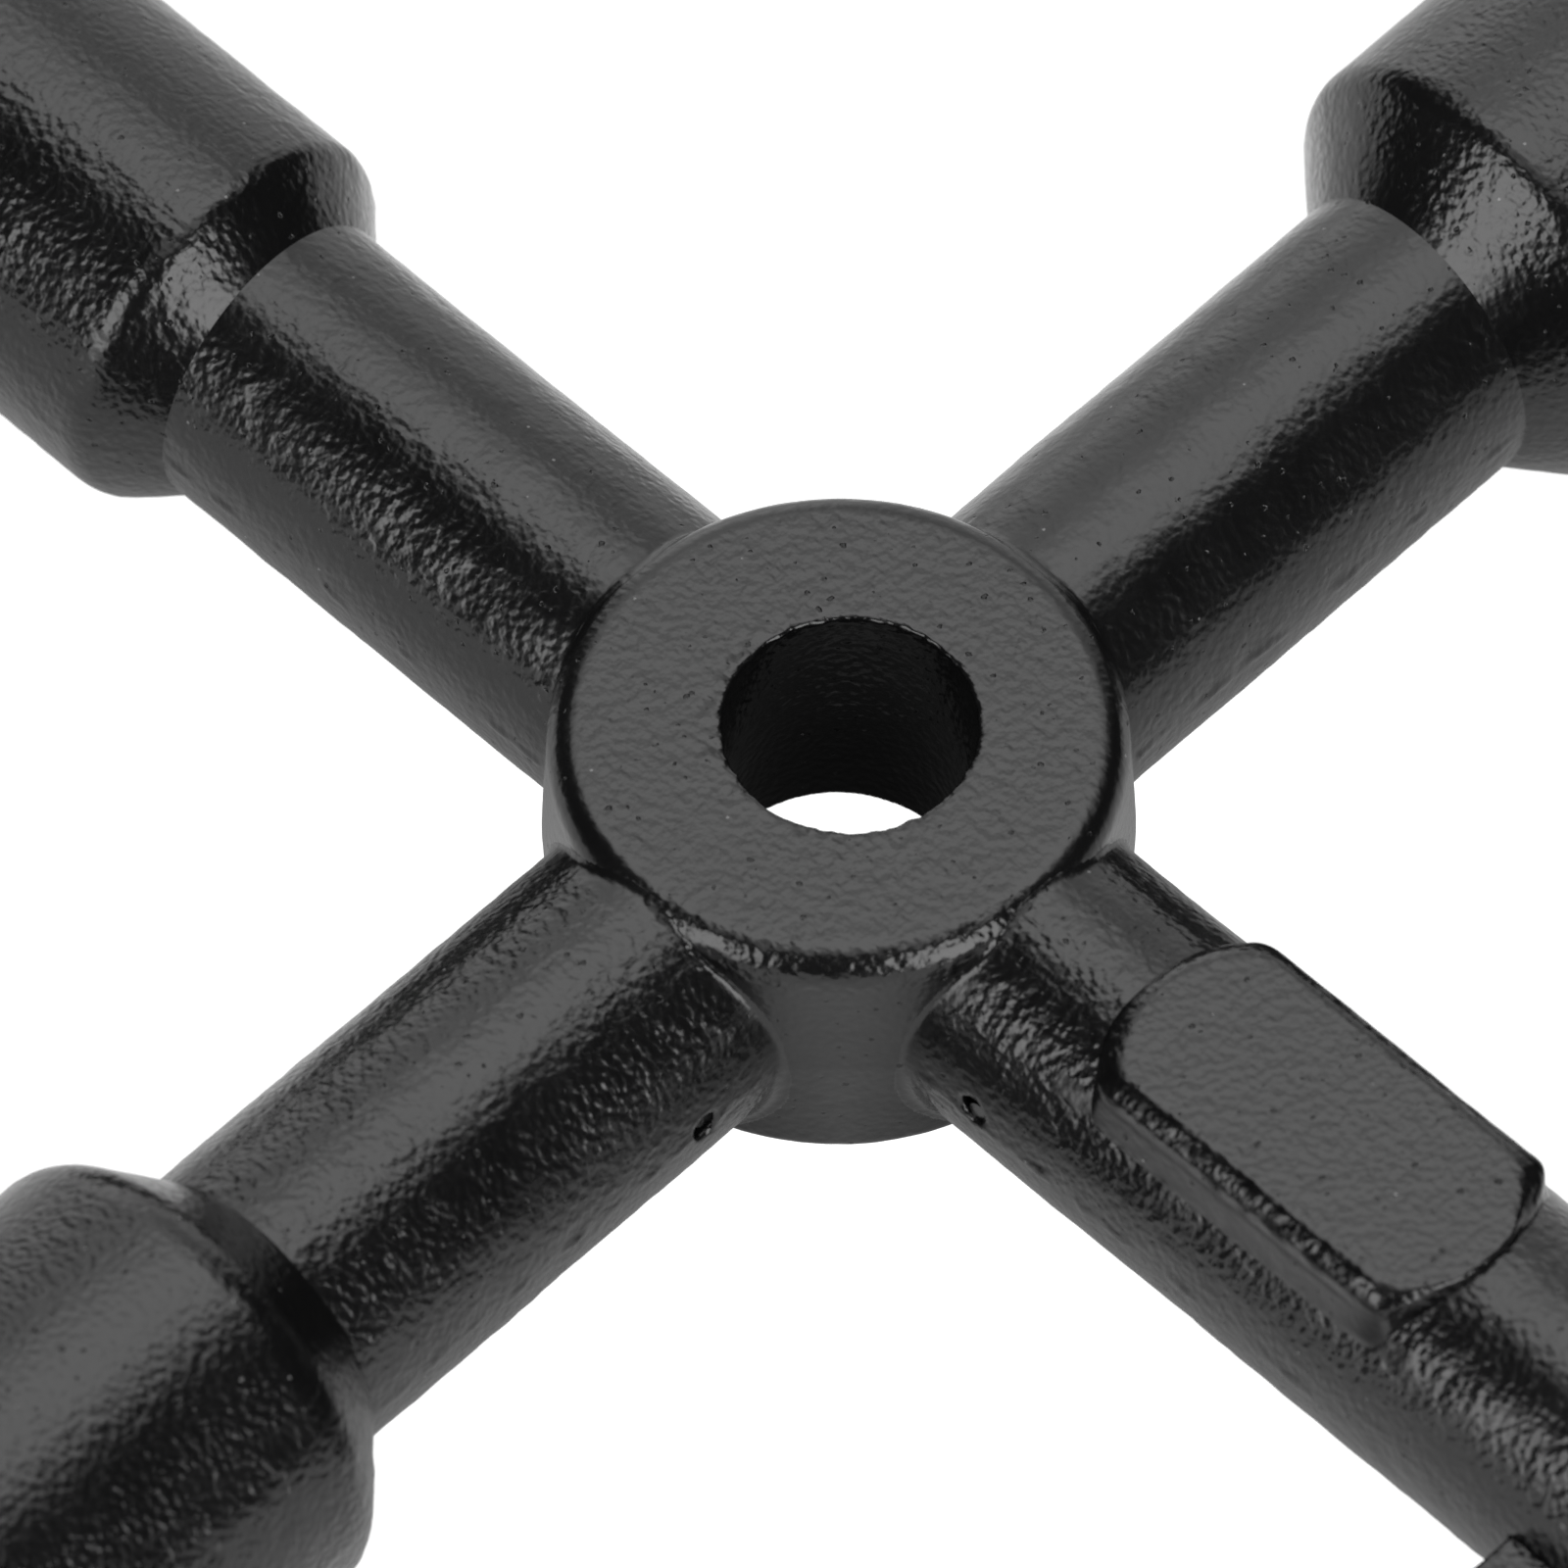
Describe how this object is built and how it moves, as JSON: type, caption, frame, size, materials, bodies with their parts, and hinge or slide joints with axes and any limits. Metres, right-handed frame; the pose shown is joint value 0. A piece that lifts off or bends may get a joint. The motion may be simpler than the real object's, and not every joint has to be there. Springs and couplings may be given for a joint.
{
  "type": "four-way cross key",
  "caption": "Black cross-shaped plumber's key: ring hub and four arms ending in square, stepped square and triangle sockets and a double-bit head.",
  "frame": {"origin": "centre of the ring hub, on the plane of the four arms' axes", "axes": "+X along the double-bit arm, +Y along the large square arm, -X along the small stepped square arm, -Y along the triangle arm, +Z towards the hub's raised face and the label pad"},
  "size_m": [0.078, 0.078, 0.015],
  "materials": {
    "black_paint": "satin black paint over a fine cast surface",
    "dark_steel": "phosphated steel, broached and turned"
  },
  "bodies": {
    "root": {"hub": "black_paint", "arm_large_square": "black_paint", "arm_small_square": "black_paint", "arm_triangle": "black_paint", "arm_double_bit": "black_paint", "label_pad": "black_paint", "barrel_large_square": "black_paint", "barrel_small_square": "black_paint", "barrel_triangle": "black_paint", "insert_square_8": "dark_steel", "insert_square_6": "dark_steel", "insert_square_5": "dark_steel", "insert_triangle_9": "dark_steel", "double_bit_head": "black_paint", "bit_head_pin": "dark_steel", "arm_root_pins": "dark_steel"}
  },
  "joints": []
}
